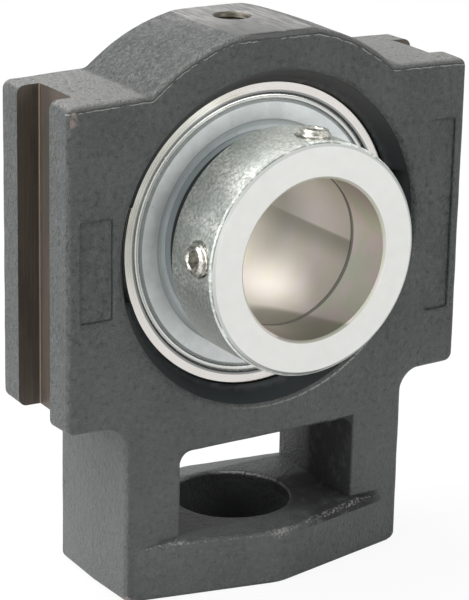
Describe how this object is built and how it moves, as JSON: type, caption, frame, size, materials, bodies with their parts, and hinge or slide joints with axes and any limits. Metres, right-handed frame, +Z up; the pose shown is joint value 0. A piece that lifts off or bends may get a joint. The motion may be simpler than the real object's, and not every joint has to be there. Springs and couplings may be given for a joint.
{
  "type": "take-up bearing unit",
  "caption": "Cast-iron take-up bearing housing with guide grooves, nut window and self-aligning insert ball bearing with an eccentric locking collar.",
  "frame": {"origin": "centre of the spherical seat, on the shaft's axis", "axes": "+X across the two guides, to the right seen from the collar; +Y along the shaft, away from the collar; +Z up, away from the foot"},
  "size_m": [0.1138, 0.0593, 0.1397],
  "materials": {
    "painted_casting": "dark slate-grey paint on cast iron",
    "bearing_steel": "ground and polished",
    "ball_steel": "polished",
    "zinc_sheet": "zinc-plated",
    "zinc_collar": "zinc-plated, ground face",
    "screw_steel": "bright zinc",
    "seal_rubber": "nitrile rubber",
    "cage_plastic": "natural polyamide"
  },
  "bodies": {
    "take_up_housing": {"housing": "painted_casting"},
    "outer_assembly": {"outer_ring": "bearing_steel", "front_outer_washer": "zinc_sheet", "front_seal_lip": "seal_rubber", "front_inner_washer": "zinc_sheet", "rear_outer_washer": "zinc_sheet", "rear_seal_lip": "seal_rubber", "rear_inner_washer": "zinc_sheet"},
    "inner_race": {"inner_ring": "bearing_steel"},
    "ball_cage": {"cage": "cage_plastic"},
    "collar": {"locking_collar": "zinc_collar"},
    "left_screw": {"left_set_screw": "screw_steel"},
    "top_screw": {"top_set_screw": "screw_steel"},
    "ball_1_body": {"ball_1": "ball_steel"},
    "ball_2_body": {"ball_2": "ball_steel"},
    "ball_3_body": {"ball_3": "ball_steel"},
    "ball_4_body": {"ball_4": "ball_steel"},
    "ball_5_body": {"ball_5": "ball_steel"},
    "ball_6_body": {"ball_6": "ball_steel"},
    "ball_7_body": {"ball_7": "ball_steel"},
    "ball_8_body": {"ball_8": "ball_steel"},
    "ball_9_body": {"ball_9": "ball_steel"}
  },
  "joints": [
    {"name": "alignment_tilt", "type": "hinge", "parent": "take_up_housing", "child": "outer_assembly", "pos_m": [0, 0, 0], "axis": [1, 0, 0], "range_deg": [-5, 5]},
    {"name": "inner_ring_spin", "type": "hinge", "parent": "outer_assembly", "child": "inner_race", "pos_m": [0, 0, 0], "axis": [0, 1, 0], "continuous": true},
    {"name": "cage_spin", "type": "hinge", "parent": "outer_assembly", "child": "ball_cage", "pos_m": [0, 0, 0], "axis": [0, 1, 0], "continuous": true},
    {"name": "ball_1_spin", "type": "hinge", "parent": "ball_cage", "child": "ball_1_body", "pos_m": [0, 0, -0.03], "axis": [0, 1, 0], "continuous": true},
    {"name": "ball_2_spin", "type": "hinge", "parent": "ball_cage", "child": "ball_2_body", "pos_m": [0.01928, 0, -0.02298], "axis": [0, 1, 0], "continuous": true},
    {"name": "ball_3_spin", "type": "hinge", "parent": "ball_cage", "child": "ball_3_body", "pos_m": [0.02954, 0, -0.00521], "axis": [0, 1, 0], "continuous": true},
    {"name": "ball_4_spin", "type": "hinge", "parent": "ball_cage", "child": "ball_4_body", "pos_m": [0.02598, 0, 0.015], "axis": [0, 1, 0], "continuous": true},
    {"name": "ball_5_spin", "type": "hinge", "parent": "ball_cage", "child": "ball_5_body", "pos_m": [0.01026, 0, 0.02819], "axis": [0, 1, 0], "continuous": true},
    {"name": "ball_6_spin", "type": "hinge", "parent": "ball_cage", "child": "ball_6_body", "pos_m": [-0.01026, 0, 0.02819], "axis": [0, 1, 0], "continuous": true},
    {"name": "ball_7_spin", "type": "hinge", "parent": "ball_cage", "child": "ball_7_body", "pos_m": [-0.02598, 0, 0.015], "axis": [0, 1, 0], "continuous": true},
    {"name": "ball_8_spin", "type": "hinge", "parent": "ball_cage", "child": "ball_8_body", "pos_m": [-0.02954, 0, -0.00521], "axis": [0, 1, 0], "continuous": true},
    {"name": "ball_9_spin", "type": "hinge", "parent": "ball_cage", "child": "ball_9_body", "pos_m": [-0.01928, 0, -0.02298], "axis": [0, 1, 0], "continuous": true},
    {"name": "collar_lock", "type": "hinge", "parent": "inner_race", "child": "collar", "pos_m": [0, 0, 0], "axis": [0, 1, 0], "range_deg": [-20, 20]},
    {"name": "left_set_screw_travel", "type": "slide", "parent": "collar", "child": "left_screw", "axis": [-0.9954, 0, 0.0958], "range_m": [-0.0007, 0.004]},
    {"name": "top_set_screw_travel", "type": "slide", "parent": "collar", "child": "top_screw", "axis": [0.0958, 0, 0.9954], "range_m": [-0.0007, 0.004]}
  ],
  "couplings": [
    {"joint": "cage_spin", "follows": "inner_ring_spin", "ratio": 0.4},
    {"joint": "ball_1_spin", "follows": "inner_ring_spin", "ratio": -2.4},
    {"joint": "ball_2_spin", "follows": "inner_ring_spin", "ratio": -2.4},
    {"joint": "ball_3_spin", "follows": "inner_ring_spin", "ratio": -2.4},
    {"joint": "ball_4_spin", "follows": "inner_ring_spin", "ratio": -2.4},
    {"joint": "ball_5_spin", "follows": "inner_ring_spin", "ratio": -2.4},
    {"joint": "ball_6_spin", "follows": "inner_ring_spin", "ratio": -2.4},
    {"joint": "ball_7_spin", "follows": "inner_ring_spin", "ratio": -2.4},
    {"joint": "ball_8_spin", "follows": "inner_ring_spin", "ratio": -2.4},
    {"joint": "ball_9_spin", "follows": "inner_ring_spin", "ratio": -2.4}
  ]
}
